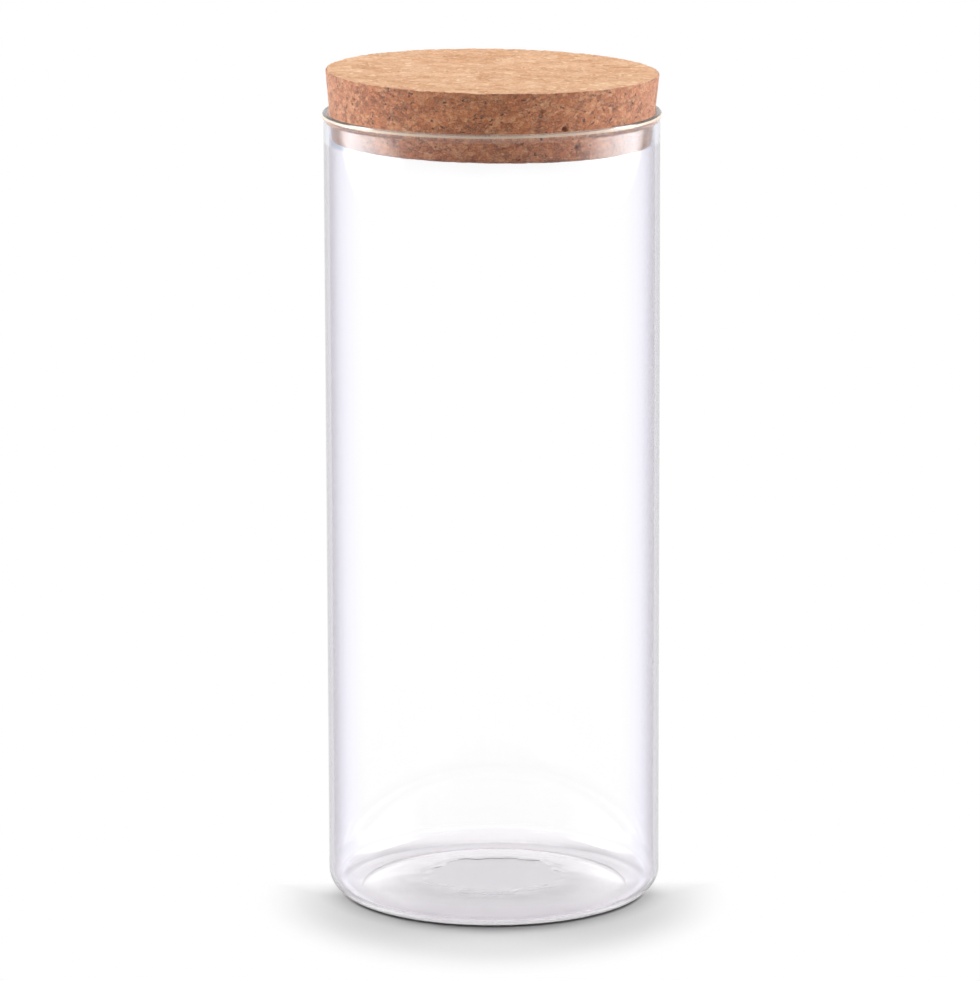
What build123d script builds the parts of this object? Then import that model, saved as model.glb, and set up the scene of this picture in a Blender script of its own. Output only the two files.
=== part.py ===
from build123d import *
from math import cos, radians, sin, tan
import os

os.makedirs("parts", exist_ok=True)

# A tall storage jar of clear glass, closed by a tapered plug of pressed cork. Millimetres and degrees.
# The origin is the middle of the foot, on the surface that the jar stands on, and +Z is up.

# Glass tube
body_radius = 48.0
wall = 1.5
jar_height = 228.5

# Lip, where the melted edge has drawn itself into a round bead that stands out past the tube
lip_overhang = 0.55
lip_swell_height = 3.2

# Foot, with a flat ring to stand on and a floor pushed up in its middle
foot_rounding = 6.9
foot_ring_width = 2.7
foot_rise = 2.4

# Floor, as thin as the wall, with the low flat mark that the shaping tool leaves at its middle
floor_thickness = 1.5
floor_corner_rounding = 5.4
press_mark_radius = 18.4
press_mark_height = 0.07
press_mark_edge = 2.4

# Cork plug, measured from the height at which it seats in the lip
cork_above_seat = 12.5
cork_below_seat = 7.5
cork_taper = 5.9
cork_top_rounding = 0.5
cork_bottom_rounding = 1.2

# Fit of the plug in the mouth, pressed in by hand and left a little askew, higher towards -X
seat_clearance = 0.1
seat_tilt = 1.0

# Worked out from the sizes above
bore_radius = body_radius - wall
lip_radius = body_radius + lip_overhang
lip_rounding = (lip_radius - bore_radius) / 2
seat_height = jar_height - lip_rounding
ring_outer_radius = body_radius - foot_rounding
ring_inner_radius = ring_outer_radius - foot_ring_width
dome_radius = press_mark_radius + press_mark_edge
mark_height = foot_rise + press_mark_height
floor_corner_radius = bore_radius - floor_corner_rounding
floor_corner_height = floor_thickness + floor_corner_rounding


# Glass jar: half of its section, turned about the upright axis
with BuildPart() as glass_jar:
    with BuildSketch(Plane.XZ):
        with BuildLine():
            # Outside, from the press mark down the dome, round the foot and up the tube
            Polyline((0, mark_height), (press_mark_radius, mark_height), (dome_radius, foot_rise))
            TangentArc((dome_radius, foot_rise), (ring_inner_radius, 0), tangent=(1, 0))
            Line((ring_inner_radius, 0), (ring_outer_radius, 0))
            TangentArc((ring_outer_radius, 0), (body_radius, foot_rounding), tangent=(1, 0))
            Line((body_radius, foot_rounding), (body_radius, seat_height - lip_swell_height))
            # The wall swells out into the lip, and the bead turns over the top into the bore
            Spline(
                (body_radius, seat_height - lip_swell_height),
                (lip_radius, seat_height),
                tangents=((0, 1), (0, 1)),
            )
            ThreePointArc(
                (lip_radius, seat_height),
                (lip_radius - lip_rounding, jar_height),
                (bore_radius, seat_height),
            )
            # Inside, down the bore, round the corner and over the floor, which follows the underside
            Line((bore_radius, seat_height), (bore_radius, floor_corner_height))
            TangentArc(
                (bore_radius, floor_corner_height),
                (floor_corner_radius, floor_thickness),
                tangent=(0, -1),
            )
            Line((floor_corner_radius, floor_thickness), (ring_inner_radius, floor_thickness))
            TangentArc(
                (dome_radius, foot_rise + floor_thickness),
                (ring_inner_radius, floor_thickness),
                tangent=(1, 0),
            )
            Polyline(
                (dome_radius, foot_rise + floor_thickness),
                (press_mark_radius, mark_height + floor_thickness),
                (0, mark_height + floor_thickness),
                (0, mark_height),
            )
        make_face()
    revolve(axis=Axis.Z)

glass_jar.part.label = "glass_jar"
export_step(glass_jar.part, "parts/glass_jar.step")


# Cork stopper: a plain tapered plug, square to a plane that leans over at the height of its seat.
# A leaning plug is widest, level for level, on the side that it leans towards, and that side clears the bore.
seat_plane = Plane.XY.offset(seat_height).rotated((0, seat_tilt, 0))
lean_share = cos(radians(seat_tilt)) - tan(radians(cork_taper)) * sin(radians(seat_tilt))
cork_seat_radius = (bore_radius - seat_clearance) * lean_share
cork_bottom_radius = cork_seat_radius - cork_below_seat * tan(radians(cork_taper))
cork_height = cork_below_seat + cork_above_seat

with BuildPart() as cork_stopper:
    with BuildSketch(seat_plane.offset(-cork_below_seat)):
        Circle(cork_bottom_radius)
    extrude(amount=cork_height, taper=-cork_taper)
    top_face = cork_stopper.faces().filter_by(seat_plane).sort_by(Axis.Z)[-1]
    fillet(top_face.edges(), radius=cork_top_rounding)
    bottom_face = cork_stopper.faces().filter_by(seat_plane).sort_by(Axis.Z)[0]
    fillet(bottom_face.edges(), radius=cork_bottom_rounding)

cork_stopper.part.label = "cork_stopper"
export_step(cork_stopper.part, "parts/cork_stopper.step")
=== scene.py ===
"""Looks of a tall storage jar of clear glass that a tapered plug of pressed cork closes.

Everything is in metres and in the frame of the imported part: +Z is up, the foot stands on z = 0, and the
photograph looks along +Y. Each piece is a surface worked out on a grid of two parameters.
"""

import logging
import math
from collections.abc import Iterable
from dataclasses import dataclass
from enum import Enum

import bpy
import numpy as np
from mathutils import Matrix, Vector


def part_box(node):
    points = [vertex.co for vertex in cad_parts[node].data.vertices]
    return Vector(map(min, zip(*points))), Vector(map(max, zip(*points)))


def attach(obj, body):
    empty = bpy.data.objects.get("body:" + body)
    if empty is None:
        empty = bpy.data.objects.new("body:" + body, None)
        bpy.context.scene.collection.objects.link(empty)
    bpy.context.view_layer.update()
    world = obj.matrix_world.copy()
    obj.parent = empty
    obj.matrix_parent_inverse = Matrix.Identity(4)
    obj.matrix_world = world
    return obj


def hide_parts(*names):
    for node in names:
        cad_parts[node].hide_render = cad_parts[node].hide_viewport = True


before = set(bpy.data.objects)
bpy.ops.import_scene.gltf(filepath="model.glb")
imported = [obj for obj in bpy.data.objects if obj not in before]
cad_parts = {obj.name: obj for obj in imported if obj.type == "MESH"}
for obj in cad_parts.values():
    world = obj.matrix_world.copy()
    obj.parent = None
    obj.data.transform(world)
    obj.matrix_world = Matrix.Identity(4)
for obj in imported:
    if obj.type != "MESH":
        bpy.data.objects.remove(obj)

LOG = logging.getLogger("storage_jar")
MM = 0.001
FULL_TURN = 2.0 * math.pi

# Section points nearer to each other than this are one point
LEAST_STEP = 0.0001 * MM

Pair = tuple[float, float]
Place = tuple[float, float, float]
Colour = tuple[float, float, float]
Stop = tuple[float, Colour]
Term = bpy.types.NodeSocket | float

WHITE = (1.0, 1.0, 1.0, 1.0)
BLACK = (0.0, 0.0, 0.0, 1.0)
RISE: Pair = (0.0, 1.0)
FADE: Pair = (1.0, 0.0)

# Noise runs from 0 to 1 about this
NOISE_MIDDLE = 0.5

# A ray's depth is a whole number, and this tells 0 from 1 and more
NO_DEPTH = 0.5

# Grains of pressed cork lie flat, so places are stretched upwards before grains are laid in them
GRAIN_FLATNESS = (1.0, 1.0, 1.4)

# Inputs of the cork's node group, which are also fields of its finishes
GRAIN_NUMBERS = ("granule", "contrast", "pits", "cracks", "flecks")
GRAIN_COLOURS = ("dark", "middle", "light")


class Body(Enum):
    """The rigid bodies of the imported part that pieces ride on."""

    JAR = "jar"
    STOPPER = "stopper"


class Slot(Enum):
    """The record's material slots."""

    GLASS = "clear_glass"
    CORK = "cork"


# Shapes as arrays


def arc(centre: Pair, radius: float, start: float, end: float, steps: int) -> np.ndarray:
    """Points of a circle in the section plane: centre plus radius times (cos, sin) of an even run of angles.

    Args:
        centre: Radius from the axis and height of the arc's centre.
        radius: Radius of the arc.
        start: First angle in degrees, from the outward direction towards up.
        end: Last angle in degrees.
        steps: Number of intervals.

    Returns:
        An array of steps + 1 rows of (radius from the axis, height).
    """
    angle = np.radians(np.linspace(start, end, steps + 1))
    return np.stack([centre[0] + radius * np.cos(angle), centre[1] + radius * np.sin(angle)], axis=1)


def tangent_arc(start: Pair, way: Pair, end: Pair, steps: int) -> np.ndarray:
    """Points of the circle that leaves a point in a given direction and passes through another.

    The centre lies on the normal to that direction, at the squared distance between the two points over
    twice the share of it that lies along the normal.

    Args:
        start: First point.
        way: Direction at the first point.
        end: Last point.
        steps: Number of intervals.

    Returns:
        An array of steps + 1 rows.
    """
    first, last = np.array(start), np.array(end)
    normal = np.array([-way[1], way[0]]) / math.hypot(*way)
    gap = last - first
    radius = float(gap @ gap) / (2.0 * float(gap @ normal))
    centre = first + normal * radius
    angles = [math.degrees(math.atan2(*(point - centre)[::-1])) for point in (first, last)]
    turn = (angles[1] - angles[0] + 180.0) % 360.0 - 180.0
    return arc(tuple(centre), abs(radius), angles[0], angles[0] + turn, steps)


def straight_run(start: float, end: float, count: int, held: float) -> np.ndarray:
    """Even places along a straight wall, with a short step at each end that keeps its shading straight.

    Args:
        start: First place.
        end: Last place.
        count: How many places.
        held: Length of the first and last step.

    Returns:
        The places, from start to end.
    """
    step = math.copysign(held, end - start)
    return np.concatenate([[start], np.linspace(start + step, end - step, count - 2), [end]])


def smooth_step(share: np.ndarray) -> np.ndarray:
    """Three times the square less twice the cube of a share held between 0 and 1."""
    held = np.clip(share, 0.0, 1.0)
    return held * held * (3.0 - 2.0 * held)


def join_runs(*runs: np.ndarray) -> np.ndarray:
    """Runs of section points end to end, less the points that repeat the one before them.

    Args:
        *runs: Arrays of (radius from the axis, height).

    Returns:
        One array of section points.
    """
    points = np.concatenate(runs)
    step = np.linalg.norm(np.diff(points, axis=0), axis=1)
    return points[np.concatenate([[True], step > LEAST_STEP])]


def grid_quads(indices: np.ndarray) -> np.ndarray:
    """Four-sided faces between neighbouring rows and columns of a grid of vertex numbers.

    Args:
        indices: Vertex numbers, one row of the grid to a row of the array.

    Returns:
        An array of faces, four vertex numbers each.
    """
    a, b = indices[:-1, :-1], indices[:-1, 1:]
    c, d = indices[1:, 1:], indices[1:, :-1]
    return np.stack([a, b, c, d], axis=-1).reshape(-1, 4)


def rings(ways: np.ndarray, outward: np.ndarray, upward: np.ndarray) -> np.ndarray:
    """Vectors about the upright axis: an outward length times each way, and an upward length.

    Args:
        ways: Flat directions or places of (x, y), one to a row.
        outward: Outward lengths, one to a ring.
        upward: Upward lengths, one to a ring.

    Returns:
        Vectors of (x, y, z), one to a row, ring after ring.
    """
    flat = ways[None] * outward[:, None, None]
    rise = np.broadcast_to(upward[:, None, None], (*flat.shape[:2], 1))
    return np.concatenate([flat, rise], axis=2).reshape(-1, 3)


def make_mesh(
    name: str, points: np.ndarray, quads: np.ndarray, fans: np.ndarray | None = None
) -> bpy.types.Object:
    """A smooth-shaded mesh object at the origin from vertex places and faces.

    Args:
        name: Name of the piece.
        points: Vertex places, one to a row.
        quads: Four-sided faces.
        fans: Triangles that close a pole, if there are any.

    Returns:
        The new object, linked to the scene.
    """
    faces = quads.tolist() + ([] if fans is None else fans.tolist())
    mesh = bpy.data.meshes.new(name)
    mesh.from_pydata(points.tolist(), [], faces)
    mesh.update()
    mesh.shade_smooth()
    piece = bpy.data.objects.new(name, mesh)
    bpy.context.scene.collection.objects.link(piece)
    return piece


@dataclass(frozen=True)
class Grain:
    """Repeatable random fields in space, worked out on a lattice of numbers drawn once from a seed."""

    seed: int
    lattice: int = 64

    def _table(self, channels: int) -> np.ndarray:
        """The lattice's random numbers, from 0 to 1."""
        return np.random.default_rng(self.seed).random((self.lattice,) * 3 + (channels,))

    def haze(self, points: np.ndarray, size: float) -> np.ndarray:
        """Smooth noise: each point takes the eased mean of the random numbers at its cell's eight corners.

        Args:
            points: Places, one to a row.
            size: Edge of a lattice cell.

        Returns:
            A number from 0 to 1 for each point.
        """
        table = self._table(1)[..., 0]
        place = points / size
        low = np.floor(place).astype(int)
        share = smooth_step(place - low)
        total = np.zeros(len(points))
        for corner in range(8):
            step = np.array([corner & 1, corner >> 1 & 1, corner >> 2 & 1])
            weight = np.prod(np.where(step == 1, share, 1.0 - share), axis=1)
            at = (low + step) % self.lattice
            total += weight * table[at[:, 0], at[:, 1], at[:, 2]]
        return total

    def crumbs(self, points: np.ndarray, size: float) -> tuple[np.ndarray, np.ndarray, np.ndarray]:
        """Cells about one random point in each lattice cube, by the distance to the two nearest points.

        Args:
            points: Places, one to a row.
            size: Edge of a lattice cube.

        Returns:
            Distance to the nearest point, distance to the second nearest, both as shares of the cube's
            edge, and the nearest point's own random number.
        """
        table = self._table(4)
        place = points / size
        home = np.floor(place).astype(int)
        nearest = np.full(len(points), np.inf)
        second = np.full(len(points), np.inf)
        own = np.zeros(len(points))
        for neighbour in range(27):
            step = np.array([neighbour % 3, neighbour // 3 % 3, neighbour // 9]) - 1
            cube = home + step
            at = cube % self.lattice
            drawn = table[at[:, 0], at[:, 1], at[:, 2]]
            away = np.linalg.norm(cube + drawn[:, :3] - place, axis=1)
            closer = away < nearest
            second = np.where(closer, nearest, np.minimum(second, away))
            own = np.where(closer, drawn[:, 3], own)
            nearest = np.where(closer, away, nearest)
        return nearest, second, own


# Shader trees


class Recipe:
    """Adds nodes to one shader tree and joins them by socket names."""

    def __init__(self, tree: bpy.types.NodeTree) -> None:
        """Keeps the material's, world's, lamp's or group's tree that nodes are added to."""
        self.tree = tree

    def add(self, kind: str, settings: dict | None = None, inputs: dict | None = None) -> bpy.types.Node:
        """One node, with its settings and with its inputs given a value or joined to another node's socket.

        Args:
            kind: Blender's name of the node type, less "ShaderNode" where it starts so.
            settings: Attribute names and values.
            inputs: Input names or numbers, each with a value or an output socket.

        Returns:
            The new node.
        """
        full = kind if kind.startswith("Node") else "ShaderNode" + kind
        node = self.tree.nodes.new(full)
        for key, value in (settings or {}).items():
            setattr(node, key, value)
        for key, value in (inputs or {}).items():
            if isinstance(value, bpy.types.NodeSocket):
                self.tree.links.new(value, node.inputs[key])
            else:
                node.inputs[key].default_value = value
        return node

    def calc(self, operation: str, *terms: Term) -> bpy.types.NodeSocket:
        """The result of a Math node's operation on values or sockets."""
        return self.add("Math", {"operation": operation}, dict(enumerate(terms))).outputs[0]

    def times(self, first: Term, second: Term) -> bpy.types.NodeSocket:
        """The product of two values or sockets."""
        return self.calc("MULTIPLY", first, second)

    def mixture(self, values: Iterable[Term], shares: Iterable[float]) -> bpy.types.NodeSocket:
        """The sum of some values, each times its share.

        Args:
            values: Sockets to add up.
            shares: A share for each of them.

        Returns:
            The sum's socket.
        """
        total = 0.0
        for value, share in zip(values, shares):
            total = self.calc("MULTIPLY_ADD", value, share, total)
        return total

    def vector(self, operation: str, *terms: object) -> bpy.types.NodeOutputs:
        """A VectorMath node's results: the vector comes first, and a length goes by the name "Value"."""
        return self.add("VectorMath", {"operation": operation}, dict(enumerate(terms))).outputs

    def along(self, vector: bpy.types.NodeSocket, axis: str) -> bpy.types.NodeSocket:
        """One part of a vector, by its axis "X", "Y" or "Z"."""
        return self.add("SeparateXYZ", None, {"Vector": vector}).outputs[axis]

    def place(self) -> bpy.types.NodeSocket:
        """Where on the piece a point is, in the piece's own coordinates."""
        return self.add("TexCoord").outputs["Object"]

    def noise(
        self, place: bpy.types.NodeSocket, scale: Term, detail: float, roughness: float = 0.5
    ) -> bpy.types.NodeOutputs:
        """Smooth noise read at a place, by how fine it is and how many and strong its finer layers are."""
        inputs = {"Vector": place, "Scale": scale, "Detail": detail, "Roughness": roughness}
        return self.add("TexNoise", None, inputs).outputs

    def cells(self, place: bpy.types.NodeSocket, scale: Term, edges: bool = False) -> bpy.types.NodeOutputs:
        """Cells about random points, so many to a metre, with Distance from the point or from the edge."""
        feature = "DISTANCE_TO_EDGE" if edges else "F1"
        return self.add("TexVoronoi", {"feature": feature}, {"Vector": place, "Scale": scale}).outputs

    def blend(self, factor: Term, first: object, second: object, mode: str = "MIX") -> bpy.types.NodeSocket:
        """A colour between two others.

        Args:
            factor: Share of the second, from 0 to 1.
            first: Colour or socket at 0.
            second: Colour or socket at 1.
            mode: Blender's name of the way of mixing.

        Returns:
            The mixed colour's socket.
        """
        node = self.add("Mix", {"data_type": "RGBA", "blend_type": mode}, {0: factor, 6: first, 7: second})
        return node.outputs[2]

    def ramp(self, value: bpy.types.NodeSocket, stops: Iterable[Stop]) -> bpy.types.NodeSocket:
        """A colour read off a ramp.

        Args:
            value: Where on the ramp, from 0 to 1.
            stops: Places and colours, in order, at least two.

        Returns:
            The colour's socket.
        """
        node = self.add("ValToRGB", None, {"Fac": value})
        elements = node.color_ramp.elements
        for index, (place, colour) in enumerate(stops):
            element = elements[index] if index < len(elements) else elements.new(place)
            element.position = place
            element.color = (*colour, 1.0)
        return node.outputs["Color"]

    def span(
        self, value: bpy.types.NodeSocket, low: float, high: float, out: Pair = RISE, eased: bool = False
    ) -> bpy.types.NodeSocket:
        """A value moved from one range to another and held there.

        Args:
            value: The socket read.
            low: Value that gives the first of out.
            high: Value that gives the second of out.
            out: The two ends of the result.
            eased: Whether it leaves one end and reaches the other softly.

        Returns:
            The result's socket.
        """
        settings = {"interpolation_type": "SMOOTHSTEP" if eased else "LINEAR", "clamp": True}
        inputs = {"Value": value, "From Min": low, "From Max": high, "To Min": out[0], "To Max": out[1]}
        return self.add("MapRange", settings, inputs).outputs["Result"]


def new_material(name: str) -> tuple[bpy.types.Material, Recipe]:
    """An empty node material.

    Args:
        name: Name of the material.

    Returns:
        The material and a recipe on its tree.
    """
    material = bpy.data.materials.new(name)
    material.use_nodes = True
    material.node_tree.nodes.clear()
    return material, Recipe(material.node_tree)


@dataclass(frozen=True)
class GrainShape:
    """The make-up of pressed cork's grain.

    A count says how many features go on one granule. A kept range picks the cells that show a feature by
    the cell's own random number, and an edge range is where in the cell the feature ends.
    """

    bend_count: float = 2.2
    bend_detail: float = 4.0
    bend_reach: float = 0.9
    crumb_count: float = 2.6
    dust_count: float = 6.5
    hole_count: float = 2.0
    speck_count: float = 7.0
    speck_detail: float = 4.0
    speck_roughness: float = 0.7
    cloud_count: float = 0.8
    cloud_detail: float = 2.0
    tone_shares: tuple[float, ...] = (0.26, 0.26, 0.22, 0.76)
    tone_mean: float = 0.75
    middle_tone: float = 0.5
    seam_edge: Pair = (0.0, 0.06)
    seam_kept: Pair = (0.45, 1.0)
    crack_edge: Pair = (0.04, 0.16)
    crack_cloud: Pair = (0.46, 0.58)
    crack_kept: Pair = (0.45, 0.65)
    gap_shade: float = 0.75
    # Pits: where they show, and the painted shade that darkens them
    pit_edge: Pair = (0.20, 0.34)
    pit_kept: Pair = (0.80, 0.88)
    pit_painted_shade_tone: Colour = (0.42, 0.36, 0.34)
    pit_painted_shade: float = 0.85
    dust_fleck_edge: Pair = (0.45, 0.7)
    dust_fleck_kept: Pair = (0.90, 0.95)
    crumb_fleck_edge: Pair = (0.35, 0.6)
    crumb_fleck_kept: Pair = (0.88, 0.92)
    fleck_shade: float = 0.8
    height_shares: tuple[float, ...] = (0.2, 0.5, 0.25, -0.8, -1.0)


def cork_group() -> bpy.types.NodeTree:
    """The grain of pressed cork as a node group, built once.

    Granules are cells about random points, bent by noise so that none is round, each with a tone of its
    own. Smaller crumbs, fine speckle, dark seams between granules, pits darkened by painted shade and pale
    flecks go over them.

    Returns:
        The group, which gives a colour and a height.
    """
    name = "pressed_cork"
    if name in bpy.data.node_groups:
        return bpy.data.node_groups[name]
    tree = bpy.data.node_groups.new(name, "ShaderNodeTree")
    sockets = [(label, "INPUT", "NodeSocketFloat") for label in GRAIN_NUMBERS]
    sockets += [(label, "INPUT", "NodeSocketColor") for label in GRAIN_COLOURS]
    sockets += [("Color", "OUTPUT", "NodeSocketColor"), ("Height", "OUTPUT", "NodeSocketFloat")]
    for label, way, kind in sockets:
        tree.interface.new_socket(label, in_out=way, socket_type=kind)

    r, shape = Recipe(tree), GrainShape()
    given = r.add("NodeGroupInput").outputs
    place = r.vector("MULTIPLY", r.place(), GRAIN_FLATNESS)[0]
    scale = r.calc("DIVIDE", 1.0, given["granule"])

    # Places bent by a share of a granule, so that the cells come out ragged
    bend = r.noise(place, r.times(scale, shape.bend_count), shape.bend_detail)["Color"]
    centred = r.vector("SUBTRACT", bend, (NOISE_MIDDLE,) * 3)[0]
    shift = r.vector("MULTIPLY", centred, r.times(given["granule"], shape.bend_reach))[0]
    bent = r.vector("ADD", place, shift)[0]

    crumb_scale = r.times(scale, shape.crumb_count)
    granule, seam = r.cells(bent, scale), r.cells(bent, scale, edges=True)
    crumb, crack = r.cells(bent, crumb_scale), r.cells(bent, crumb_scale, edges=True)
    dust = r.cells(bent, r.times(scale, shape.dust_count))
    hole = r.cells(bent, r.times(scale, shape.hole_count))
    speck_scale = r.times(scale, shape.speck_count)
    speck = r.noise(place, speck_scale, shape.speck_detail, shape.speck_roughness)["Fac"]
    cloud = r.noise(place, r.times(scale, shape.cloud_count), shape.cloud_detail)["Fac"]
    own, small, tiny, lone = (
        r.add("SeparateColor", None, {0: cell["Color"]}).outputs for cell in (granule, crumb, dust, hole)
    )

    tone = r.mixture((own[0], small[0], tiny[0], speck), shape.tone_shares)
    tone = r.calc("SUBTRACT", tone, shape.tone_mean)
    tone = r.calc("MULTIPLY_ADD", tone, given["contrast"], shape.middle_tone)
    low = r.blend(r.span(tone, 0.0, shape.middle_tone), given["dark"], given["middle"])
    colour = r.blend(r.span(tone, shape.middle_tone, 1.0), low, given["light"])

    # Dark seams round some granules, and short cracks between crumbs where the cork is loosest
    gap = r.times(r.span(seam["Distance"], *shape.seam_edge, FADE), r.span(own[1], *shape.seam_kept))
    split = r.times(r.span(crack["Distance"], *shape.crack_edge, FADE), r.span(cloud, *shape.crack_cloud))
    split = r.times(split, r.span(small[1], *shape.crack_kept))
    gap = r.times(r.calc("MAXIMUM", gap, split), given["cracks"])
    colour = r.blend(r.times(gap, shape.gap_shade), colour, given["dark"])

    # Pits: small sharp holes where a crumb is missing, darkened by painted shade
    pit = r.times(r.span(hole["Distance"], *shape.pit_edge, FADE), r.span(lone[0], *shape.pit_kept))
    pit = r.times(pit, given["pits"])
    shade = r.blend(1.0, given["dark"], (*shape.pit_painted_shade_tone, 1.0), "MULTIPLY")
    colour = r.blend(r.times(pit, shape.pit_painted_shade), colour, shade)

    # Pale flecks: whole specks and crumbs of light cork
    flecks = [
        r.times(r.span(number, *kept), r.span(cell["Distance"], *edge, FADE))
        for number, kept, cell, edge in (
            (tiny[1], shape.dust_fleck_kept, dust, shape.dust_fleck_edge),
            (small[2], shape.crumb_fleck_kept, crumb, shape.crumb_fleck_edge),
        )
    ]
    fleck = r.times(r.calc("MAXIMUM", *flecks), given["flecks"])
    colour = r.blend(r.times(fleck, shape.fleck_shade), colour, given["light"])

    height = r.mixture((own[2], speck, tiny[2], gap, pit), shape.height_shares)
    r.add("NodeGroupOutput", None, {"Color": colour, "Height": height})
    return tree


# Finishes


@dataclass(frozen=True)
class CorkFinish:
    """Pressed cork as it is left by one way of working it."""

    name: str
    dark: Colour
    middle: Colour
    light: Colour
    granule: float
    contrast: float
    pits: float
    cracks: float
    flecks: float
    relief: float
    relief_strength: float = 0.9
    roughness: float = 0.86
    gloss: float = 0.25
    sheen: float = 0.0
    sheen_roughness: float = 0.5
    pit_painted_shade_tone: float = 0.35
    pit_painted_shade: float = 0.85

    def material(self) -> bpy.types.Material:
        """Lays the grain on a matt shader, and darkens it where the mesh's attribute "pit" says.

        Returns:
            The finish as a material.
        """
        material, r = new_material(self.name)
        grain = r.add("Group", {"node_tree": cork_group()})
        for label in GRAIN_NUMBERS:
            grain.inputs[label].default_value = getattr(self, label)
        for label in GRAIN_COLOURS:
            grain.inputs[label].default_value = (*getattr(self, label), 1.0)
        # Painted shade: the pits and hollows sunk into the mesh are darkened towards the dark colour
        pit_shade_share = r.add("Attribute", {"attribute_name": "pit"}).outputs["Fac"]
        deep = tuple(self.pit_painted_shade_tone * part for part in self.dark)
        height = grain.outputs["Height"]
        relief = {"Height": height, "Distance": self.relief, "Strength": self.relief_strength}
        inputs = {
            "Base Color": r.blend(r.times(pit_shade_share, self.pit_painted_shade), grain.outputs["Color"], (*deep, 1.0)),
            "Roughness": self.roughness,
            "Normal": r.add("Bump", None, relief).outputs["Normal"],
            "Specular IOR Level": self.gloss,
            "Sheen Weight": self.sheen,
            "Sheen Roughness": self.sheen_roughness,
        }
        shader = r.add("BsdfPrincipled", None, inputs)
        r.add("OutputMaterial", None, {"Surface": shader.outputs[0]})
        return material


def pass_light(r: Recipe, shader: bpy.types.Node, share: Term, colour: Colour) -> bpy.types.NodeSocket:
    """Lets light on its way to the cork go straight through the glass, which a shadow can't do by bending.

    Args:
        r: Recipe on the material's tree.
        shader: The glass as it is seen.
        share: Where light passes, from 0 to 1.
        colour: What is left of the light after one surface.

    Returns:
        The mixed shader's socket.
    """
    path = r.add("LightPath").outputs
    lighting = r.calc("MAXIMUM", path["Is Shadow Ray"], path["Is Diffuse Ray"])
    open_way = r.add("BsdfTransparent", None, {"Color": (*colour, 1.0)})
    inputs = {0: r.times(lighting, share), 1: shader.outputs[0], 2: open_way.outputs[0]}
    return r.add("MixShader", None, inputs).outputs[0]


@dataclass(frozen=True)
class GlassFinish:
    """Clear glass whose tint deepens where the surface turns away, as a wall seen on its edge does.

    Levels are tints by how far the surface turns away, from 0 to 1. Past the glass's own faint tint they
    are painted shade: on the wall it stands in for the darker surroundings that its edges show, and at the
    mouth for shade on the cork behind it. A reach is a pair of heights between which a tint, or the way
    that light passes, gives way to the next.
    """

    name: str = "clear_glass"
    index: float = 1.47
    facing_blend: float = 0.5
    clear: Colour = (0.99, 0.965, 1.0)
    foot_reach: Pair = (3.0 * MM, 7.5 * MM)
    # Painted shade at the wall's edges, by facing, and its lilac hue
    edge_shade_levels: tuple[Pair, ...] = (
        (0.40, 1.00),
        (0.48, 0.97),
        (0.54, 0.93),
        (0.62, 0.84),
        (0.68, 0.69),
        (0.75, 0.52),
        (0.91, 0.24),
        (1.00, 0.12),
    )
    edge_shade_power: Colour = (1.0, 1.10, 1.0)
    edge_shade_gain: Colour = (1.0, 1.0, 1.10)
    # Painted shade at the mouth, over the cork behind the glass
    mouth_shade_levels: tuple[Stop, ...] = (
        (0.12, (0.99, 0.965, 1.0)),
        (0.27, (0.80, 0.85, 0.93)),
        (0.40, (0.48, 0.62, 0.75)),
        (0.50, (0.43, 0.50, 0.60)),
        (0.67, (0.43, 0.48, 0.58)),
        (0.75, (0.95, 0.92, 0.99)),
    )
    mouth_reach: Pair = (219.9 * MM, 220.9 * MM)
    light_reach: Pair = (216.0 * MM, 219.5 * MM)
    light_pass: Colour = (0.99, 0.99, 0.99)

    def edge_shade_stops(self) -> list[Stop]:
        """Tints of the drawn wall: each level to the colour's power times its gain, and 1 at most.

        Returns:
            Stops for a ramp.
        """
        hue = list(zip(self.edge_shade_power, self.edge_shade_gain))
        return [
            (turned, tuple(min(1.0, gain * level**power) for power, gain in hue))
            for turned, level in self.edge_shade_levels
        ]

    def material(self) -> bpy.types.Material:
        """Tints the glass by its facing: the wall's tint gives way to the mouth's own, and the foot has none.

        Returns:
            The finish as a material.
        """
        material, r = new_material(self.name)
        facing = r.add("LayerWeight", None, {"Blend": self.facing_blend}).outputs["Facing"]
        height = r.along(r.place(), "Z")
        # Painted shade: the wall's edges darken to a lilac grey by facing, and the mouth darkens further over
        # the cork behind it
        drawn, mouth = r.ramp(facing, self.edge_shade_stops()), r.ramp(facing, self.mouth_shade_levels)
        wall = r.blend(r.span(height, *self.mouth_reach), drawn, mouth)
        tint = r.blend(r.span(height, *self.foot_reach), (*self.clear, 1.0), wall)
        inputs = {"Base Color": tint, "Roughness": 0.0, "IOR": self.index, "Transmission Weight": 1.0}
        shader = r.add("BsdfPrincipled", None, inputs)
        surface = pass_light(r, shader, r.span(height, *self.light_reach), self.light_pass)
        r.add("OutputMaterial", None, {"Surface": surface})
        return material


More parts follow.
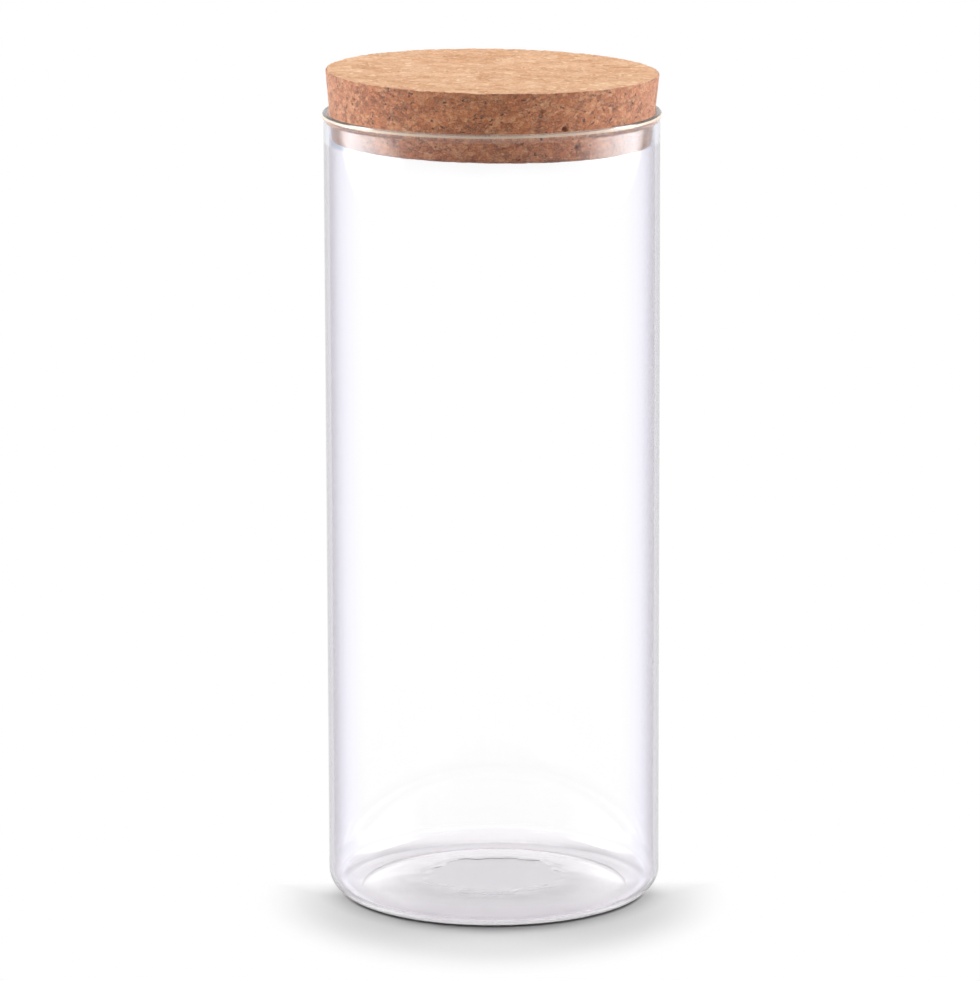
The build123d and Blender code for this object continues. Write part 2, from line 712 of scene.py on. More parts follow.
@dataclass(frozen=True)
class RimFinish:
    """The melted rim, which gathers the light that runs up inside the wall and so looks paler and denser."""

    # The milky colour is painted light: it stands in for the light that runs up inside the wall and shows as
    # a bright line along the bead.
    name: str
    colour: Colour
    transmission: float
    roughness: float = 0.25
    index: float = 1.47
    cloud_scale: float = 90.0
    cloud_detail: float = 2.0
    cloud_edge: Pair = (0.35, 0.65)
    cloud_depth: float = 0.93
    light_share: float = 1.0
    light_pass: Colour = (0.96, 0.96, 0.96)

    def material(self) -> bpy.types.Material:
        """Mixes the rim's milky part, faintly clouded, with its clear part.

        Returns:
            The finish as a material.
        """
        material, r = new_material(self.name)
        # The milky part is painted light, faintly clouded at random
        cloud = r.noise(r.place(), self.cloud_scale, self.cloud_detail)["Fac"]
        dense = tuple(part * self.cloud_depth for part in self.colour)
        inputs = {
            "Base Color": r.blend(r.span(cloud, *self.cloud_edge), (*dense, 1.0), (*self.colour, 1.0)),
            "Roughness": self.roughness,
            "IOR": self.index,
            "Transmission Weight": self.transmission,
        }
        shader = r.add("BsdfPrincipled", None, inputs)
        surface = pass_light(r, shader, self.light_share, self.light_pass)
        r.add("OutputMaterial", None, {"Surface": surface})
        return material


SANDED_CORK = CorkFinish(
    name="cork_sanded",
    dark=(0.54, 0.235, 0.105),
    middle=(0.82, 0.475, 0.275),
    light=(0.99, 0.71, 0.48),
    granule=6.5 * MM,
    contrast=1.0,
    pits=0.25,
    cracks=0.55,
    flecks=1.0,
    relief=0.12 * MM,
)
GROUND_CORK = CorkFinish(
    name="cork_ground",
    dark=(0.27, 0.070, 0.024),
    middle=(0.70, 0.240, 0.099),
    light=(0.97, 0.56, 0.31),
    granule=3.0 * MM,
    contrast=1.10,
    pits=1.0,
    cracks=0.75,
    flecks=0.6,
    relief=0.40 * MM,
    roughness=0.68,
    gloss=0.4,
    sheen=0.42,
)
CLEAR_GLASS = GlassFinish()
# Painted highlight: a warm milky face that stands in for the bright line along the bead
RIM_FACE = RimFinish(name="glass_rim_face_painted_highlight", colour=(0.95, 0.78, 0.62), transmission=0.12)
# Painted light: a pale milky share on the bead's top that lightens it
RIM_TOP = RimFinish(
    name="glass_rim_top_painted_light",
    colour=(0.95, 0.94, 0.90),
    transmission=0.80,
    roughness=0.1,
    index=1.25,
)


# The jar


class GlassPart(Enum):
    """The parts of the glass that look different, by their material's place in the list."""

    CLEAR = 0
    RIM_FACE = 1
    RIM_TOP = 2


@dataclass(frozen=True)
class Wave:
    """One of the waves about the axis that drawn or pressed glass wavers by."""

    count: int
    phase: float
    twist: float = 0.0
    share: float = 1.0

    def at(self, angle: np.ndarray, rise: np.ndarray | float = 0.0) -> np.ndarray:
        """Share times the sine of count times the angle, plus phase, plus twist times the rise up the jar."""
        return self.share * np.sin(self.count * angle + self.phase + self.twist * rise)


@dataclass
class GlassJar:
    """The one-piece glass body: tube, fire-polished lip, rounded foot and pressed floor."""

    wall: float = 1.5 * MM
    lip_overhang: float = 0.55 * MM
    lip_swell_height: float = 1.4 * MM
    foot_rounding: float = 6.9 * MM
    foot_ring_width: float = 2.7 * MM
    foot_rise: float = 2.4 * MM
    floor_thickness: float = 1.5 * MM
    floor_corner_rounding: float = 5.4 * MM
    press_mark_radius: float = 18.4 * MM
    press_mark_height: float = 0.07 * MM
    press_mark_edge: float = 2.4 * MM
    rim_turn: float = 40.0

    wall_waver: float = 0.03 * MM
    wall_waves: tuple[Wave, ...] = (
        Wave(count=5, phase=0.4, twist=1.1),
        Wave(count=9, phase=2.0, twist=-2.3),
        Wave(count=16, phase=4.1, twist=3.7),
    )
    calm_height: float = 20.7 * MM
    calm_radius: float = 0.75
    mark_waver: float = 0.035
    mark_reach: float = 0.3
    mark_waves: tuple[Wave, ...] = (
        Wave(count=2, phase=0.9, share=0.5),
        Wave(count=5, phase=3.3),
        Wave(count=9, phase=1.2, share=0.8),
        Wave(count=17, phase=5.0, share=0.5),
    )
    floor_waver: float = 0.016 * MM
    swell_seed: int = 5
    swell_size: float = 7.0 * MM
    ripple_seed: int = 8
    ripple_size: float = 2.6 * MM
    ripple_share: float = 0.35
    swell_mean: float = 0.7
    floor_calm: float = 0.5

    columns: int = 288
    wall_rows: int = 37
    held_end: float = 0.2 * MM
    round_steps: int = 24
    swell_rows: int = 17
    mark_rows: int = 31
    mark_edge_rows: int = 13
    dome_steps: int = 44

    def __post_init__(self) -> None:
        """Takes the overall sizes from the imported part."""
        _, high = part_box("glass_jar")
        self.height = high.z
        self.lip_radius = high.x
        self.body_radius = self.lip_radius - self.lip_overhang
        self.bore_radius = self.body_radius - self.wall
        self.lip_rounding = (self.lip_radius - self.bore_radius) / 2.0
        self.seat_height = self.height - self.lip_rounding
        self.ring_outer = self.body_radius - self.foot_rounding
        self.ring_inner = self.ring_outer - self.foot_ring_width

    def underside(self) -> np.ndarray:
        """Half of the underside's section, from the axis to the foot's ring.

        The press mark is flat and ends in an eased step. From its edge an arc that starts level comes down
        to the ring.

        Returns:
            Rows of (radius from the axis, height).
        """
        flat = np.linspace(0.0, self.press_mark_radius, self.mark_rows)
        mark = np.stack([flat, np.full_like(flat, self.foot_rise + self.press_mark_height)], axis=1)
        share = np.linspace(0.0, 1.0, self.mark_edge_rows)
        step_radius = self.press_mark_radius + self.press_mark_edge * share
        step_height = self.foot_rise + self.press_mark_height * (1.0 - smooth_step(share))
        mark_end = (self.press_mark_radius + self.press_mark_edge, self.foot_rise)
        dome = tangent_arc(mark_end, (1.0, 0.0), (self.ring_inner, 0.0), self.dome_steps)
        return join_runs(mark, np.stack([step_radius, step_height], axis=1), dome)

    def section(self) -> np.ndarray:
        """Half of the glass's section, from the middle of the underside round the lip to the floor's middle.

        Returns:
            Rows of (radius from the axis, height); the first and last lie on the axis.
        """
        under = self.underside()
        foot = arc((self.ring_outer, self.foot_rounding), self.foot_rounding, -90.0, 0.0, self.round_steps)
        neck = self.seat_height - self.lip_swell_height
        up = straight_run(self.foot_rounding, neck, self.wall_rows, self.held_end)
        outside = np.stack([np.full_like(up, self.body_radius), up], axis=1)
        share = np.linspace(0.0, 1.0, self.swell_rows)
        swell_radius = self.body_radius + self.lip_overhang * smooth_step(share)
        swell = np.stack([swell_radius, neck + self.lip_swell_height * share], axis=1)
        bead_centre = (self.bore_radius + self.lip_rounding, self.seat_height)
        bead = arc(bead_centre, self.lip_rounding, 0.0, 180.0, self.round_steps)

        corner_radius = self.bore_radius - self.floor_corner_rounding
        corner_height = self.floor_thickness + self.floor_corner_rounding
        corner = arc((corner_radius, corner_height), self.floor_corner_rounding, 0.0, -90.0, self.round_steps)
        down = straight_run(self.seat_height, corner_height, self.wall_rows, self.held_end)
        inside = np.stack([np.full_like(down, self.bore_radius), down], axis=1)
        floor = under[::-1] + np.array([0.0, self.floor_thickness])
        return join_runs(under, foot, outside, swell, bead, inside, corner, floor)

    def turned(self, radius: np.ndarray, height: np.ndarray) -> np.ndarray:
        """The section turned about the axis, with the drawn wall and the floor wavering.

        A point at angle a is (r cos a, r sin a, z). On the walls r also loses a few hundredths of a
        millimetre by a mean of slow waves in a, which drift a little with height. About the press mark's
        edge r is stretched by a few hundredths by quicker waves, and the floor's top rises and falls a
        little by smooth noise.

        Args:
            radius: Radius from the axis of each row.
            height: Height of each row.

        Returns:
            Places, by row and column.
        """
        angle = np.arange(self.columns) * FULL_TURN / self.columns
        rise = height[:, None] / self.height
        waver = sum(1.0 + wave.at(angle, rise) for wave in self.wall_waves) / len(self.wall_waves)
        on_wall = (radius / self.bore_radius - self.calm_radius) / (1.0 - self.calm_radius)
        calm = smooth_step(height / self.calm_height) * smooth_step(on_wall)
        wide = radius[:, None] - self.wall_waver * waver * calm[:, None]

        low = (height < self.floor_corner_rounding) & (radius < self.ring_inner)
        ragged = sum(wave.at(angle) for wave in self.mark_waves)
        near_mark = np.exp(-(((radius / self.press_mark_radius - 1.0) / self.mark_reach) ** 2)) * low
        wide *= 1.0 + self.mark_waver * near_mark[:, None] * ragged
        upright = np.broadcast_to(height[:, None], wide.shape)
        rows = np.stack([wide * np.cos(angle), wide * np.sin(angle), upright], axis=-1)

        inside = np.arange(len(radius)) > len(radius) // 2
        held = smooth_step((1.0 - radius / self.ring_inner) / self.floor_calm) * low * inside
        places = rows.reshape(-1, 3)
        swell = Grain(self.swell_seed).haze(places, self.swell_size) - self.swell_mean
        swell += self.ripple_share * Grain(self.ripple_seed).haze(places, self.ripple_size)
        rows[..., 2] += self.floor_waver * swell.reshape(wide.shape) * held[:, None]
        return rows

    def part_rows(self, radius: np.ndarray, height: np.ndarray) -> np.ndarray:
        """Which part of the glass each row of faces is, by how far round the bead it lies.

        Args:
            radius: Radius from the axis of each row of points.
            height: Height of each row of points.

        Returns:
            Numbers of GlassPart, one to a row of faces.
        """
        on_bead = np.minimum(height[:-1], height[1:]) >= self.seat_height
        from_middle = radius - self.bore_radius - self.lip_rounding
        turn = np.degrees(np.arctan2(height - self.seat_height, from_middle))[1:]
        bead = np.where(turn <= self.rim_turn, GlassPart.RIM_FACE.value, GlassPart.RIM_TOP.value)
        return np.where(on_bead, bead, GlassPart.CLEAR.value)

    def build(self) -> bpy.types.Object:
        """Joins the turned section's rows by faces, and closes both poles on the axis by fans.

        Returns:
            The glass, as a closed mesh.
        """
        section = self.section()
        radius, height = section[1:-1, 0], section[1:-1, 1]
        rows = self.turned(radius, height)
        poles = [[0.0, 0.0, section[0, 1]], [0.0, 0.0, rows[-1, :, 2].mean()]]
        points = np.concatenate([rows.reshape(-1, 3), poles])
        numbers = np.arange(len(radius) * self.columns).reshape(len(radius), self.columns)
        numbers = np.concatenate([numbers, numbers[:, :1]], axis=1)
        quads = grid_quads(numbers)
        bottom, top = np.full(self.columns, len(points) - 2), np.full(self.columns, len(points) - 1)
        lower = np.stack([bottom, numbers[0, 1:], numbers[0, :-1]], axis=1)
        upper = np.stack([top, numbers[-1, :-1], numbers[-1, 1:]], axis=1)
        piece = make_mesh("jar_glass", points, quads, np.concatenate([lower, upper]))
        parts = np.full(len(piece.data.polygons), GlassPart.CLEAR.value, np.int32)
        parts[: len(quads)] = np.repeat(self.part_rows(radius, height), self.columns)
        piece.data.polygons.foreach_set("material_index", parts)
        return piece

    def dress(self, piece: bpy.types.Object) -> None:
        """Gives the glass its finish and its place in the frame.

        Args:
            piece: The mesh that build gives.
        """
        for finish in (CLEAR_GLASS, RIM_FACE, RIM_TOP):
            piece.data.materials.append(finish.material())
        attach(piece, Body.JAR.value)
        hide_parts("glass_jar")


# The stopper


class CorkFace(Enum):
    """The two ways in which the stopper's faces are worked, by their material's place in the list."""

    SANDED = 0
    GROUND = 1


@dataclass(frozen=True)
class Hollow:
    """A hole torn or left open in the cork, at a place seen in the photograph."""

    turn: float
    height: float
    reach: float
    depth: float


@dataclass(frozen=True)
class CorkWear:
    """Sizes of the relief in the cork's skin: granules, seams, grit, lost crumbs and the crumbled edges."""

    granule_seed: int = 11
    crumb_seed: int = 23
    fine_seed: int = 37
    bend_size: float = 1.6 * MM
    bend_reach: float = 0.9 * MM
    bend_shifts: Place = (0.0, 40.0 * MM, 80.0 * MM)
    granule: float = 3.2 * MM
    granule_depth: float = 0.05 * MM
    seam_width: float = 0.22
    seam_depth: float = 0.07 * MM
    seam_patch: float = 5.0 * MM
    grit: float = 0.9 * MM
    grit_depth: float = 0.05 * MM
    crumb: float = 2.1 * MM
    lost_share: float = 0.045
    lost_at_edge: float = 0.10
    pit_size: float = 0.22
    pit_spread: float = 0.20
    pit_depth: float = 0.42 * MM
    reshuffle: float = 97.0
    edge_reach: float = 1.5 * MM
    crumble: float = 1.3 * MM
    crumble_gain: float = 2.2
    crumble_start: float = 0.9
    crumble_depth: float = 0.30 * MM
    hollow_reach: float = 1.15


@dataclass
class CorkStopper:
    """The tapered plug of pressed cork, a little askew in the mouth."""

    jar: GlassJar
    above_seat: float = 12.5 * MM
    below_seat: float = 7.5 * MM
    taper: float = 5.9
    top_rounding: float = 0.5 * MM
    bottom_rounding: float = 1.2 * MM
    seat_clearance: float = 0.1 * MM
    seat_tilt: float = 1.0
    disc_cells: int = 160
    side_rows: int = 44
    top_rows: int = 5
    bottom_rows: int = 7
    skin: CorkWear = CorkWear()
    hollows: tuple[Hollow, ...] = (
        Hollow(turn=25.9, height=2.2 * MM, reach=1.1 * MM, depth=0.9 * MM),
        Hollow(turn=-55.5, height=7.4 * MM, reach=0.6 * MM, depth=0.7 * MM),
        Hollow(turn=2.9, height=4.5 * MM, reach=0.55 * MM, depth=0.6 * MM),
        Hollow(turn=17.0, height=7.0 * MM, reach=0.6 * MM, depth=0.5 * MM),
        Hollow(turn=-36.0, height=-2.6 * MM, reach=0.8 * MM, depth=0.6 * MM),
        Hollow(turn=31.0, height=-3.2 * MM, reach=1.0 * MM, depth=0.7 * MM),
    )

    def __post_init__(self) -> None:
        """Works out the plug's radii from the mouth that it sits in."""
        lean = math.radians(self.seat_tilt)
        self.slope = math.tan(math.radians(self.taper))
        fit = math.cos(lean) - self.slope * math.sin(lean)
        self.seat_radius = (self.jar.bore_radius - self.seat_clearance) * fit
        self.top_radius = self.seat_radius + self.above_seat * self.slope
        self.bottom_radius = self.seat_radius - self.below_seat * self.slope

    def section(self) -> np.ndarray:
        """The plug's section, from the flat top's edge round the corner and down to the bottom's edge.

        Each corner is an arc that touches the flat and the tapered side.

        Returns:
            Rows of (radius, height above the seat, outward part of the normal, upward part of it).
        """
        top_inset = self.top_rounding * math.tan(math.radians((90.0 + self.taper) / 2.0))
        bottom_inset = self.bottom_rounding * math.tan(math.radians((90.0 - self.taper) / 2.0))
        top_centre = (self.top_radius - top_inset, self.above_seat - self.top_rounding)
        bottom_centre = (self.bottom_radius - bottom_inset, -self.below_seat + self.bottom_rounding)
        top = arc(top_centre, self.top_rounding, 90.0, -self.taper, self.top_rows)
        bottom = arc(bottom_centre, self.bottom_rounding, -self.taper, -90.0, self.bottom_rows)
        share = np.linspace(0.0, 1.0, self.side_rows + 1)[:, None]
        side = top[-1] * (1.0 - share) + bottom[0] * share
        points = join_runs(top, side, bottom)
        along = np.gradient(points, axis=0)
        along /= np.linalg.norm(along, axis=1)[:, None]
        normals = np.stack([-along[:, 1], along[:, 0]], axis=1)
        normals[0] = (0.0, 1.0)
        normals[-1] = (0.0, -1.0)
        return np.concatenate([points, normals], axis=1)

    def disc(self) -> tuple[np.ndarray, np.ndarray]:
        """A unit disc as a bent square grid, and its rim.

        A point of the square at (u, v) goes to radius max(|u|, |v|), at an angle that grows evenly along
        each edge of the square, so that the rim's points are evenly spaced.

        Returns:
            Grid points of (x, y), one to a row, and the numbers of the rim's points, anticlockwise.
        """
        count = self.disc_cells
        line = np.linspace(-1.0, 1.0, count)
        u, v = np.meshgrid(line, line, indexing="xy")
        wide = np.abs(u) >= np.abs(v)
        with np.errstate(divide="ignore", invalid="ignore"):
            turn_wide = np.where(u == 0.0, 0.0, v / u)
            turn_tall = np.where(v == 0.0, 0.0, u / v)
        angle = np.where(wide, turn_wide * math.pi / 4.0, math.pi / 2.0 - turn_tall * math.pi / 4.0)
        size = np.where(wide, u, v)
        grid = np.stack([size * np.cos(angle), size * np.sin(angle)], axis=-1).reshape(-1, 2)
        numbers = np.arange(count * count).reshape(count, count)
        rim = np.concatenate([numbers[:-1, -1], numbers[-1, :0:-1], numbers[:0:-1, 0], numbers[0, :-1]])
        return grid, rim

    def near_edge(self, points: np.ndarray) -> np.ndarray:
        """How near places on the plain plug are to one of its corners, eased.

        Args:
            points: Places, one to a row.

        Returns:
            1 at a corner, falling to 0 at the skin's edge_reach.
        """
        limit = self.seat_radius + points[:, 2] * self.slope
        from_side = np.abs(limit - np.linalg.norm(points[:, :2], axis=1))
        from_flat = np.minimum(np.abs(self.above_seat - points[:, 2]), np.abs(points[:, 2] + self.below_seat))
        return smooth_step(1.0 - np.hypot(from_side, from_flat) / self.skin.edge_reach)

    def wear(self, points: np.ndarray, edge: np.ndarray) -> tuple[np.ndarray, np.ndarray]:
        """How deep the cork lies under the plug's plain shape, and how much of that is open pit.

        Granules stand at slightly different heights with seams between them. A few crumbs have dropped
        out and left pits, more of them along the edges, where the cork also crumbles.

        Args:
            points: Places on the plain plug.
            edge: How near each place is to a corner, from 0 to 1.

        Returns:
            Depth in metres and pit share from 0 to 1.
        """
        skin = self.skin
        granule, crumb, fine = Grain(skin.granule_seed), Grain(skin.crumb_seed), Grain(skin.fine_seed)
        bend = np.stack([fine.haze(points + shift, skin.bend_size) for shift in skin.bend_shifts], axis=1)
        bent = points + skin.bend_reach * (bend - NOISE_MIDDLE)
        flat = bent * np.array(GRAIN_FLATNESS)
        near, second, own = granule.crumbs(flat, skin.granule)
        seam = 1.0 - smooth_step((second - near) / skin.seam_width)
        depth = skin.granule_depth * own + skin.seam_depth * seam * fine.haze(points, skin.seam_patch)
        depth += skin.grit_depth * fine.haze(points, skin.grit)

        near, _, own = crumb.crumbs(flat, skin.crumb)
        lost = own < skin.lost_share + skin.lost_at_edge * edge
        size = skin.pit_size + skin.pit_spread * (own * skin.reshuffle % 1.0)
        pit = np.where(lost, smooth_step(1.0 - near / size), 0.0)
        depth += skin.pit_depth * pit
        crumbled = smooth_step(fine.haze(points, skin.crumble) * skin.crumble_gain - skin.crumble_start)
        depth += skin.crumble_depth * edge * crumbled

        for hollow in self.hollows:
            turn = math.radians(hollow.turn)
            radius = self.seat_radius + hollow.height * self.slope
            middle = np.array([radius * math.sin(turn), -radius * math.cos(turn), hollow.height])
            away = np.linalg.norm(bent - middle, axis=1) / hollow.reach
            hole = smooth_step(skin.hollow_reach - away)
            depth += hollow.depth * hole
            pit = np.maximum(pit, hole)
        return depth, pit

    def build(self) -> bpy.types.Object:
        """Joins the top disc, the side and the bottom disc into one closed skin and sinks its relief into it.

        Returns:
            The cork, as a closed mesh with a pit attribute and its two ways of working as materials.
        """
        section = self.section()
        grid, rim = self.disc()
        around = grid[rim] / np.linalg.norm(grid[rim], axis=1)[:, None]
        runs = ((grid, section[:1]), (around, section[1:-1]), (grid, section[-1:]))
        points = np.concatenate([rings(ways, rows[:, 0], rows[:, 1]) for ways, rows in runs])
        normals = np.concatenate([rings(ways, rows[:, 2], rows[:, 3]) for ways, rows in runs])
        depth, pit = self.wear(points, self.near_edge(points))
        points -= normals * depth[:, None]

        disc = grid_quads(np.arange(len(grid)).reshape(self.disc_cells, self.disc_cells))
        start = len(points) - len(grid)
        middle = np.arange(len(grid), start).reshape(-1, len(rim))
        numbers = np.concatenate([rim[None], middle, rim[None] + start])
        side = grid_quads(np.concatenate([numbers, numbers[:, :1]], axis=1))[:, ::-1]
        quads = np.concatenate([disc, disc[:, ::-1] + start, side])

        lean = math.radians(self.seat_tilt)
        cosine, sine = math.cos(lean), math.sin(lean)
        turn = np.array([[cosine, 0.0, sine], [0.0, 1.0, 0.0], [-sine, 0.0, cosine]])
        placed = points @ turn.T + np.array([0.0, 0.0, self.jar.seat_height])
        piece = make_mesh("stopper_cork", placed, quads)
        kinds = np.full(len(quads), CorkFace.GROUND.value, np.int32)
        kinds[: 2 * len(disc)] = CorkFace.SANDED.value
        piece.data.polygons.foreach_set("material_index", kinds)
        attribute = piece.data.attributes.new("pit", "FLOAT", "POINT")
        attribute.data.foreach_set("value", pit.astype(np.float32))
        return piece

    def dress(self, piece: bpy.types.Object) -> None:
        """Gives the cork its finishes and its place in the frame.

        Args:
            piece: The mesh that build gives.
        """
        piece.data.materials.append(SANDED_CORK.material())
        piece.data.materials.append(GROUND_CORK.material())
        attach(piece, Body.STOPPER.value)
        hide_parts("cork_stopper")


# The studio


@dataclass(frozen=True)
class Lamp:
    """A rectangular soft lamp, by the light that each point of it gives."""

    name: str
    place: Place
    aim: Place
    width: float
    height: float
    radiance: float
    soft_ends: Pair = (0.0, 0.0)
    soft_foot: float = 0.0

    def build(self) -> None:
        """Adds the lamp, unseen by the camera. Its power is radiance times area times pi.

        Its light falls off smoothly over a share of its width at each end, and of its height at its foot,
        as that of a softbox does.
        """
        light = bpy.data.lights.new(self.name, "AREA")
        light.shape = "RECTANGLE"
        light.size, light.size_y = self.width, self.height
        light.energy = self.radiance * self.width * self.height * math.pi
        lamp = bpy.data.objects.new(self.name, light)
        lamp.location = self.place
        lamp.rotation_mode = "QUATERNION"
        lamp.rotation_quaternion = (Vector(self.aim) - Vector(self.place)).to_track_quat("-Z", "Y")
        lamp.visible_camera = False
        if max(self.soft_ends) > 0.0:
            light.use_nodes = True
            r = Recipe(light.node_tree)
            place = r.add("NewGeometry").outputs["Parametric"]
            across, up = r.along(place, "X"), r.along(place, "Y")
            first = r.span(across, 0.0, self.soft_ends[0], eased=True)
            last = r.span(across, 1.0, 1.0 - self.soft_ends[1], eased=True)
            level = r.times(r.span(up, 0.0, self.soft_foot, eased=True), r.times(first, last))
            r.tree.links.new(level, r.tree.nodes["Emission"].inputs["Strength"])
        bpy.context.scene.collection.objects.link(lamp)


@dataclass
class Studio:
    """A pale floor under a plain white surrounding, with a soft lamp overhead and one at each side.

    Heights of the surrounding are angles above the horizon. A radius or reach is a pair of distances from
    the jar's axis between which one level gives way to the next.
    """

    plain_level: float = 0.36
    backdrop_top: float = 14.6
    backdrop_blur: float = 0.3
    fade_level: float = 0.66
    fade_top: float = 21.0
    floor_radius: float = 4.0
    floor_columns: int = 96
    floor_sink: float = 0.05 * MM
    floor_colour: Colour = (0.755, 0.755, 0.755)
    # Painted light: a glow under the jar on rays through the glass, and a small glow past the foot
    painted_under_light: float = 0.58
    painted_under_light_radius: Pair = (44.0 * MM, 47.0 * MM)
    # Painted contact shadow: how dark it is, and the ring just outside the foot's line of contact
    painted_contact_shadow_depth: float = 0.78
    painted_contact_shadow_radius: Pair = (43.4 * MM, 44.8 * MM)
    painted_near_light: float = 0.115
    painted_near_light_radius: Pair = (45.5 * MM, 52.0 * MM)
    white_reach: Pair = (57.0 * MM, 85.0 * MM)
    white_middle: Place = (0.0, -10.0 * MM, 0.0)
    white_squeeze: Place = (1.22, 1.0, 1.0)
    # On camera rays, white painted over the jar's shadow behind its widest line
    white_behind: Pair = (-9.5 * MM, 5.5 * MM)
    mirror_reach: Pair = (1.45, 1.49)
    mirror_levels: tuple[Pair, ...] = ((0.0, 0.17), (35.0, 0.25), (60.0, 0.6), (80.0, 1.0))
    lamps: tuple[Lamp, ...] = (
        Lamp(
            name="overhead",
            place=(0.0, 0.45, 1.45),
            aim=(0.0, 0.0, 0.2),
            width=1.0,
            height=0.9,
            radiance=2.65,
        ),
        Lamp(
            name="left_panel",
            place=(-0.60, 0.07, 0.355),
            aim=(0.0, 0.07, 0.355),
            width=0.98,
            height=0.48,
            radiance=5.25,
            soft_ends=(0.408, 0.592),
            soft_foot=0.025,
        ),
        Lamp(
            name="right_panel",
            place=(0.60, 0.07, 0.355),
            aim=(0.0, 0.07, 0.355),
            width=0.98,
            height=0.48,
            radiance=5.15,
            soft_ends=(0.592, 0.408),
            soft_foot=0.025,
        ),
    )

    @staticmethod
    def seen(r: Recipe) -> bpy.types.NodeSocket:
        """Rays that show the surroundings: camera, glossy and transmitted ones that met nothing matt.

        Args:
            r: Recipe on the tree that asks.

        Returns:
            1 on such a ray, and 0 on one that lights a surface.
        """
        path = r.add("LightPath").outputs
        shown = r.calc("MAXIMUM", path["Is Camera Ray"], path["Is Glossy Ray"])
        shown = r.calc("MAXIMUM", shown, path["Is Transmission Ray"])
        return r.times(shown, r.calc("LESS_THAN", path["Diffuse Depth"], NO_DEPTH))

    def build_world(self) -> None:
        """A white backdrop all round, and a plain grey level above it and to rays that light a surface.

        The backdrop reaches up to the angle that the jar's floor mirrors behind its middle. Above it the
        surrounding starts at the fade level and sinks to the plain one, but the camera sees white there too.
        """
        world = bpy.data.worlds.new("surrounding")
        bpy.context.scene.world = world
        world.use_nodes = True
        world.node_tree.nodes.clear()
        r = Recipe(world.node_tree)
        rise = r.along(r.add("TexCoord").outputs["Generated"], "Z")
        edge, blur = self.backdrop_top, self.backdrop_blur
        low, high, top = (math.sin(math.radians(turn)) for turn in (edge - blur, edge + blur, self.fade_top))
        wall = r.span(rise, low, high, FADE)
        above = r.span(rise, high, top, (self.fade_level, self.plain_level))
        direct = r.add("LightPath").outputs["Is Camera Ray"]
        shown = r.calc("MAXIMUM", above, r.calc("MAXIMUM", wall, direct))
        gain = r.calc("SUBTRACT", shown, self.plain_level)
        strength = r.calc("MULTIPLY_ADD", self.seen(r), gain, self.plain_level)
        sky = r.add("Background", None, {"Color": WHITE, "Strength": strength})
        r.add("OutputWorld", None, {"Surface": sky.outputs[0]})

    def white_level(self, r: Recipe, place: bpy.types.NodeSocket) -> bpy.types.NodeSocket:
        """How light the card's white is: 1, but to a mirrored ray it is dim far out at the front.

        Args:
            r: Recipe on the floor's tree.
            place: Where on the floor.

        Returns:
            The strength's socket.
        """
        mirrored = r.calc("GREATER_THAN", r.add("LightPath").outputs["Glossy Depth"], NO_DEPTH)
        share = r.times(mirrored, r.span(r.vector("LENGTH", place)["Value"], *self.mirror_reach))
        back = r.along(r.vector("NORMALIZE", place)[0], "Y")

        # A turn away from straight ahead, as a place on the ramp from the front to the back
        stops = [
            ((1.0 - math.cos(math.radians(turn))) / 2.0, (level, level, level))
            for turn, level in self.mirror_levels
        ]
        level = r.ramp(r.span(back, -1.0, 1.0), stops)
        return r.calc("MULTIPLY_ADD", share, r.calc("SUBTRACT", level, 1.0), 1.0)

    def floor_card(self) -> bpy.types.Material:
        """A matt pale card that keeps the jar's shadow, and past the shadow white on rays that show it.

        Under the jar a painted contact shadow darkens it at the line of contact on camera rays, and a painted
        glow lifts it on rays that come through the glass, so that it looks as light as the glass would make
        it.
        A small painted glow lifts it past the foot, which leaves it darker next to the foot.

        Returns:
            The card's material.
        """
        material, r = new_material("floor_card")
        place = r.place()
        away = r.vector("LENGTH", place)["Value"]
        seen = self.seen(r)
        direct = r.add("LightPath").outputs["Is Camera Ray"]
        # Painted contact shadow: on camera rays the card darkens towards black in a ring just outside the
        # foot
        painted_contact_shadow = r.times(direct, r.span(away, *self.painted_contact_shadow_radius, (self.painted_contact_shadow_depth, 0.0)))
        card = r.blend(painted_contact_shadow, (*self.floor_colour, 1.0), BLACK)
        dull = {"Base Color": card, "Roughness": 1.0, "Specular IOR Level": 0.0}
        matt = r.add("BsdfPrincipled", None, dull)
        # Painted light: a glow under the jar, on rays through the glass, stands in for the light that the
        # glass lets through. A small glow past the foot lightens the jar's shadow there and leaves the card
        # darker next to the foot.
        through = r.calc("SUBTRACT", 1.0, direct)
        under = r.times(through, r.span(away, *self.painted_under_light_radius, (self.painted_under_light, 0.0)))
        lift = r.calc("ADD", under, r.span(away, *self.painted_near_light_radius, (0.0, self.painted_near_light)))
        glow = r.add("Emission", None, {"Strength": r.times(lift, seen)})
        near = r.add("AddShader", None, {0: matt.outputs[0], 1: glow.outputs[0]})

        # Past an ellipse set forward of the jar the card is white on rays that show it. On camera rays it is
        # also painted white behind the jar's widest line, over the jar's shadow.
        moved = r.vector("SUBTRACT", place, self.white_middle)[0]
        squeezed = r.vector("MULTIPLY", moved, self.white_squeeze)[0]
        far = r.span(r.vector("LENGTH", squeezed)["Value"], *self.white_reach, eased=True)
        behind = r.times(direct, r.span(r.along(place, "Y"), *self.white_behind))
        white = r.add("Emission", None, {"Strength": self.white_level(r, place)})
        share = r.times(r.calc("MAXIMUM", far, behind), seen)
        both = r.add("MixShader", None, {0: share, 1: near.outputs[0], 2: white.outputs[0]})
        r.add("OutputMaterial", None, {"Surface": both.outputs[0]})
        return material

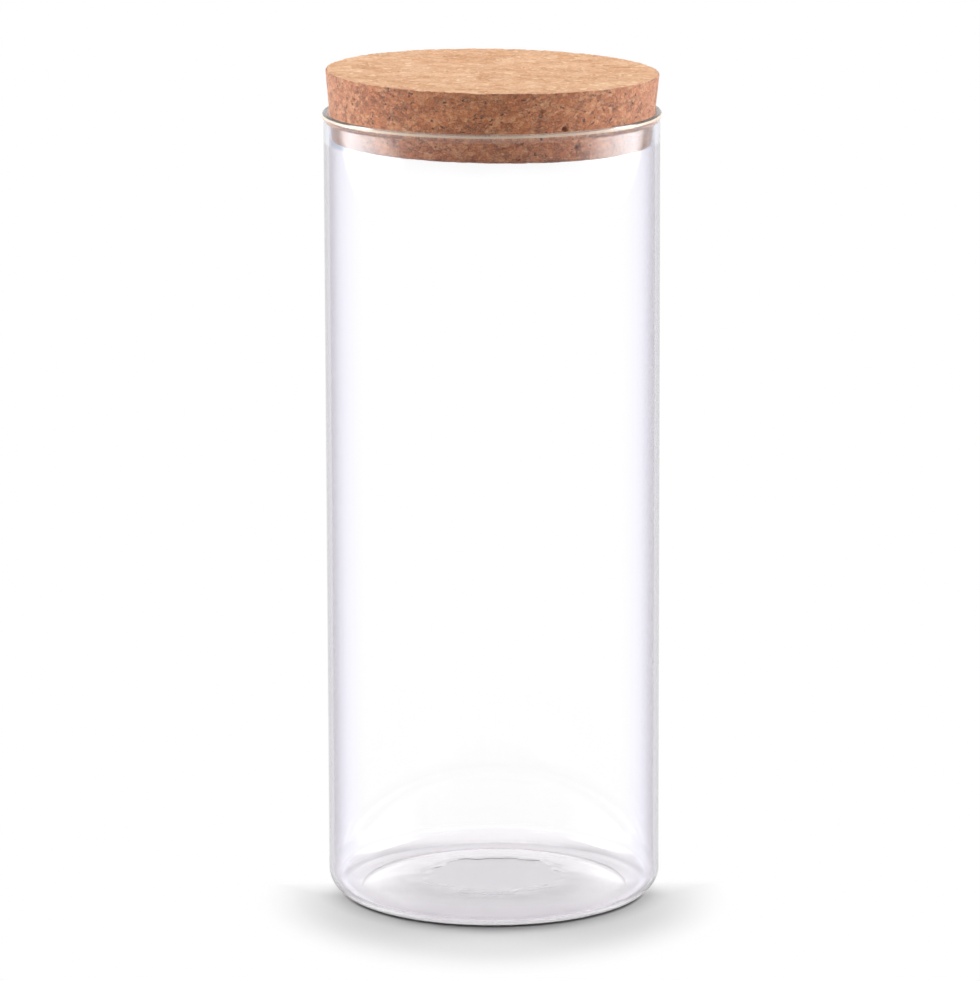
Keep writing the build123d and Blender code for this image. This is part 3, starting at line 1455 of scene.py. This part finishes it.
    def build_floor(self) -> None:
        """A round floor just under the foot, as a fan of faces about its middle, and its card."""
        angle = np.arange(self.floor_columns) * FULL_TURN / self.floor_columns
        rim = np.stack([np.cos(angle), np.sin(angle), np.zeros_like(angle)], axis=1) * self.floor_radius
        points = np.concatenate([np.zeros((1, 3)), rim]) - np.array([0.0, 0.0, self.floor_sink])
        around = np.arange(self.floor_columns)
        fans = np.stack([np.zeros_like(around), around + 1, (around + 1) % self.floor_columns + 1], axis=1)
        floor = make_mesh("floor", points, np.zeros((0, 4), int), fans)
        floor.data.materials.append(self.floor_card())

    def build(self) -> None:
        """Builds the surrounding, the floor and the lamps."""
        self.build_world()
        self.build_floor()
        for lamp in self.lamps:
            lamp.build()


@dataclass(frozen=True)
class PhotoCamera:
    """The photograph's viewpoint, found from the outlines of the foot, the lip and the cork."""

    image_long_side: float = 981.0
    focal_pixels: float = 6303.0
    sensor: float = 36.0
    distance: float = 1.779
    height: float = 0.484
    look_down: float = 11.6245
    look_left: float = 0.0273
    roll: float = -0.17

    def build(self) -> None:
        """Adds the camera: it stands off along -Y, looks down at the jar's middle and leans by its roll."""
        data = bpy.data.cameras.new("photo_camera")
        data.sensor_width = self.sensor
        data.lens = self.sensor * self.focal_pixels / self.image_long_side
        camera = bpy.data.objects.new("photo_camera", data)
        turn = Matrix.Rotation(math.radians(self.look_left), 4, "Z")
        tilt = Matrix.Rotation(math.radians(90.0 - self.look_down), 4, "X")
        lean = Matrix.Rotation(math.radians(self.roll), 4, "Z")
        place = Matrix.Translation((0.0, -self.distance, self.height))
        camera.matrix_world = place @ turn @ tilt @ lean
        bpy.context.scene.collection.objects.link(camera)
        bpy.context.scene.camera = camera


def main() -> None:
    """Builds the camera, the studio and the pieces in order, and reports each piece."""
    logging.basicConfig(level=logging.INFO, format="%(name)s: %(message)s")
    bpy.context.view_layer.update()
    PhotoCamera().build()
    Studio().build()
    bpy.context.scene.view_settings.view_transform = "Standard"

    jar = GlassJar()
    stopper = CorkStopper(jar)
    for maker in (jar, stopper):
        piece = maker.build()
        maker.dress(piece)
        LOG.info("%s: %d faces", piece.name, len(piece.data.polygons))


if __name__ == "__main__":
    main()
